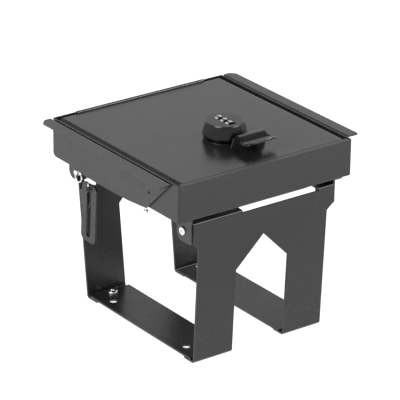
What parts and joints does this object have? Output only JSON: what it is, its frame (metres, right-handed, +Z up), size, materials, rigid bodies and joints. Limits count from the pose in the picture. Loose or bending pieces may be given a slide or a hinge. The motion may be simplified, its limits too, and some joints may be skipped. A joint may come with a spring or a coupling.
{
  "type": "floor-stand lock box",
  "caption": "Shallow steel lock box with a hinged dial-locked lid, pivoting on a bent floor stand with pull-ring release pins.",
  "frame": {"origin": "on the floor under the middle of the tray", "axes": "+X to the box's right when facing its front, +Y to the rear where the lid hinges, +Z up; the front faces -Y"},
  "size_m": [0.348, 0.31, 0.3137],
  "materials": {
    "stand_paint": "black powder coat, fine texture, satin",
    "tray_paint": "black powder coat, fine texture, satin",
    "lid_paint": "black powder coat, smooth semi-gloss",
    "black_oxide": "black oxide, satin",
    "lock_black": "black enamelled die casting, semi-gloss",
    "bright_zinc": "bright zinc plate",
    "steel": "turned steel",
    "dial_chrome": "polished rims",
    "wire": "stainless wire rope"
  },
  "bodies": {
    "stand": {"front_panel": "stand_paint", "rear_panel": "stand_paint", "base_strap_left": "stand_paint", "base_strap_right": "stand_paint", "strap_bolts": "bright_zinc", "pivot_rivets": "bright_zinc", "stay_lug_left": "stand_paint", "stay_lug_right": "stand_paint", "stay_screw_left": "black_oxide", "stay_screw_right": "black_oxide", "stay_nut_left": "bright_zinc", "stay_nut_right": "bright_zinc", "lanyard": "wire", "lanyard_terminal": "bright_zinc"},
    "tray": {"tray_shell": "tray_paint", "floor_doubler": "tray_paint", "side_rail_left": "tray_paint", "side_rail_right": "tray_paint", "front_ear_left": "tray_paint", "front_ear_right": "tray_paint", "rear_ear_left": "tray_paint", "rear_ear_right": "tray_paint", "hinge_leaf_tray": "tray_paint", "hinge_pin": "steel", "latch_strike": "tray_paint", "stud_left": "bright_zinc", "stud_right": "bright_zinc", "stud_nut_left": "black_oxide", "stud_nut_right": "black_oxide"},
    "lid": {"lid_plate": "lid_paint", "lid_stiffener": "lid_paint", "pull_tab": "lid_paint", "hinge_leaf_lid": "lid_paint", "lock_escutcheon": "lock_black", "lock_nut": "bright_zinc"},
    "knob": {"lock_knob": "lock_black", "lock_shaft": "steel", "lock_cam": "steel", "dial_axle": "steel"},
    "dial_1": {"dial_wheel_1": "dial_chrome"},
    "dial_2": {"dial_wheel_2": "dial_chrome"},
    "dial_3": {"dial_wheel_3": "dial_chrome"},
    "latch": {"latch_bolt": "bright_zinc"},
    "release_left": {"release_pin_left": "bright_zinc", "lanyard_crimp": "bright_zinc"},
    "release_right": {"release_pin_right": "bright_zinc"},
    "ring_left": {"pin_ring_left": "bright_zinc"},
    "ring_right": {"pin_ring_right": "bright_zinc"},
    "bush_left": {"stay_bush_left": "steel"},
    "bush_right": {"stay_bush_right": "steel"},
    "link_left": {"stay_link_left": "stand_paint"},
    "link_right": {"stay_link_right": "stand_paint"}
  },
  "joints": [
    {"name": "tray_tilt", "type": "hinge", "parent": "stand", "child": "tray", "pos_m": [0, -0.1314, 0.2062], "axis": [1, 0, 0], "range_deg": [0, 18]},
    {"name": "lid_hinge", "type": "hinge", "parent": "tray", "child": "lid", "pos_m": [0, 0.15, 0.2855], "axis": [-1, 0, 0], "range_deg": [0, 100]},
    {"name": "knob_turn", "type": "hinge", "parent": "lid", "child": "knob", "pos_m": [0.008, -0.045, 0.29], "axis": [0, 0, -1], "range_deg": [0, 90]},
    {"name": "latch_slide", "type": "slide", "parent": "lid", "child": "latch", "axis": [0, -1, 0], "range_m": [0, 0.01131]},
    {"name": "dial_spin_1", "type": "hinge", "parent": "knob", "child": "dial_1", "pos_m": [0.008, -0.0316, 0.3057], "axis": [0, 1, 0], "continuous": true},
    {"name": "dial_spin_2", "type": "hinge", "parent": "knob", "child": "dial_2", "pos_m": [0.008, -0.044, 0.3057], "axis": [0, 1, 0], "continuous": true},
    {"name": "dial_spin_3", "type": "hinge", "parent": "knob", "child": "dial_3", "pos_m": [0.008, -0.0564, 0.3057], "axis": [0, 1, 0], "continuous": true},
    {"name": "pin_pull_left", "type": "slide", "parent": "stand", "child": "release_left", "axis": [-1, 0, 0], "range_m": [0, 0.012]},
    {"name": "ring_swing_left", "type": "hinge", "parent": "release_left", "child": "ring_left", "pos_m": [-0.1323, 0.1237, 0.2062], "axis": [0, 0.7071, -0.7071], "range_deg": [0, 90]},
    {"name": "stay_swing_left", "type": "hinge", "parent": "stand", "child": "bush_left", "pos_m": [-0.1165, 0.112, 0.18], "axis": [1, 0, 0], "range_deg": [-25, 25]},
    {"name": "stay_slide_left", "type": "slide", "parent": "bush_left", "child": "link_left", "axis": [0, -0.0523, 0.9986], "range_m": [0, 0.034]},
    {"name": "pin_pull_right", "type": "slide", "parent": "stand", "child": "release_right", "axis": [1, 0, 0], "range_m": [0, 0.012]},
    {"name": "ring_swing_right", "type": "hinge", "parent": "release_right", "child": "ring_right", "pos_m": [0.1323, 0.1237, 0.2062], "axis": [0, -0.7071, 0.7071], "range_deg": [0, 90]},
    {"name": "stay_swing_right", "type": "hinge", "parent": "stand", "child": "bush_right", "pos_m": [0.1165, 0.112, 0.18], "axis": [1, 0, 0], "range_deg": [-25, 25]},
    {"name": "stay_slide_right", "type": "slide", "parent": "bush_right", "child": "link_right", "axis": [0, -0.0523, 0.9986], "range_m": [0, 0.034]}
  ],
  "couplings": [
    {"joint": "latch_slide", "follows": "knob_turn", "m_per_rad": 0.0072}
  ]
}
